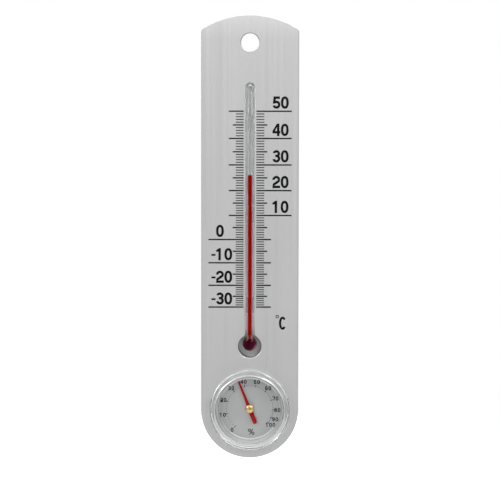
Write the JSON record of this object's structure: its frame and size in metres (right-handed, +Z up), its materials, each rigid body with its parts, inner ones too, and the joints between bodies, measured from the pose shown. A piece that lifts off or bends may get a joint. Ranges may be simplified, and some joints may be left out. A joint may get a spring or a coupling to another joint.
{
  "type": "thermometer hygrometer",
  "caption": "Wall thermometer with a red spirit column on a tall brushed aluminium plate, and a round dial hygrometer with a red needle at its foot.",
  "frame": {"origin": "axis of the hanging hole in the plane of the plate's back", "axes": "+X to the right as seen from the front, +Y towards the wall along the hanging hole, +Z up along the plate"},
  "size_m": [0.055, 0.0155, 0.25],
  "materials": {
    "brushed_aluminium": "brushed, clear anodised",
    "black_ink": "screen print, matt",
    "tube_glass": "clear, polished",
    "red_spirit": "dyed liquid",
    "clear_adhesive": "clear, soft",
    "silver_plastic": "silver, satin",
    "clear_crystal": "clear moulded plastic, polished",
    "dial_grey": "satin grey paint",
    "brass": "turned",
    "steel": "polished",
    "humidity_strip": "coated strip",
    "red_paint": "red enamel"
  },
  "bodies": {
    "plate_assembly": {"face_plate": "brushed_aluminium", "scale_graduations": "black_ink", "scale_numerals": "black_ink", "unit_mark": "black_ink", "thermometer_tube": "tube_glass", "bulb_spirit": "red_spirit", "spirit_column": "red_spirit", "tube_adhesive": "clear_adhesive", "hygrometer_case": "silver_plastic", "case_ring": "silver_plastic", "crystal": "clear_crystal", "dial_plate": "dial_grey", "dial_graduations": "black_ink", "dial_numerals": "black_ink", "dial_bush": "brass"},
    "spirit_top": {"spirit_meniscus": "red_spirit"},
    "adjuster_assembly": {"coil_adjuster": "brass", "adjuster_clip": "steel", "coil_stud": "brass", "humidity_coil": "humidity_strip"},
    "needle_assembly": {"needle": "red_paint", "needle_cap": "brass", "arbor": "steel", "coil_collet": "brass"}
  },
  "joints": [
    {"name": "spirit_rise", "type": "slide", "parent": "plate_assembly", "child": "spirit_top", "axis": [0, 0, 1], "range_m": [-0.0745, 0.0359], "deforming": ["spirit_column"]},
    {"name": "adjuster_turn", "type": "hinge", "parent": "plate_assembly", "child": "adjuster_assembly", "pos_m": [0, 0.0085, -0.20735], "axis": [0, 1, 0], "continuous": true},
    {"name": "needle_turn", "type": "hinge", "parent": "adjuster_assembly", "child": "needle_assembly", "pos_m": [0, 0.0012, -0.20735], "axis": [0, 1, 0], "range_deg": [-119.1, 149.9], "stiffness_Nm_per_rad": 0.0001, "deforming": ["humidity_coil"]}
  ]
}
